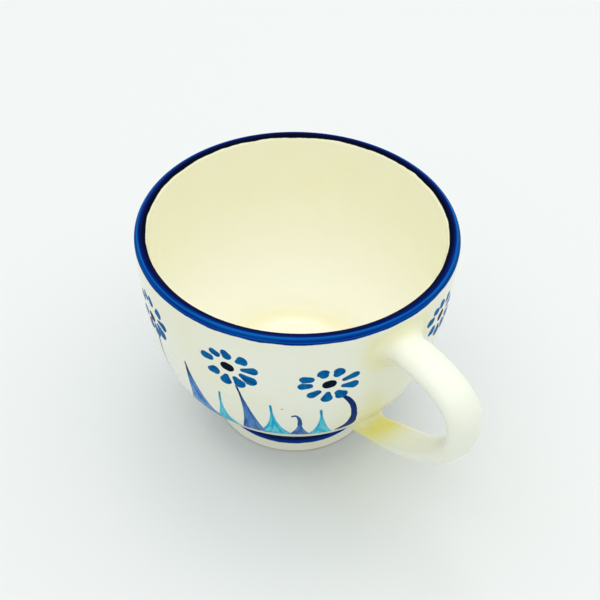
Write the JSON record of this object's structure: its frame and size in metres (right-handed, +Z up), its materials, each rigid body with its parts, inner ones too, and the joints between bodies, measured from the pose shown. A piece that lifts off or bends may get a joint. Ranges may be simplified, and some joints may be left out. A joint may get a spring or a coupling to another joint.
{
  "type": "stoneware mug",
  "caption": "Wide hand-painted stoneware mug: a round bowl on a turned foot ring, with a painted lip and an ear-shaped side handle for hot drinks.",
  "frame": {"origin": "on the table, under the middle of the whole mug's box, handle included; the cup's axis is the upright line at x = -0.0168 m, y = 0", "axes": "+Z up along the cup's axis, +X out through the handle, +Y across the handle"},
  "size_m": [0.1396, 0.106, 0.082],
  "materials": {
    "cream_glaze": "glossy cream glaze over hand-painted cobalt and turquoise flowers",
    "cobalt_lip": "brushed cobalt paint under clear gloss glaze",
    "foot_glaze": "cream glaze thinning to a bare, ground clay face underneath",
    "handle_glaze": "glossy cream glaze, pooled and yellower in the joints"
  },
  "bodies": {
    "root": {"cup_body": "cream_glaze", "rim_lip": "cobalt_lip", "foot_ring": "foot_glaze", "handle": "handle_glaze", "upper_joint_coil": "handle_glaze", "lower_joint_coil": "handle_glaze"}
  },
  "joints": []
}
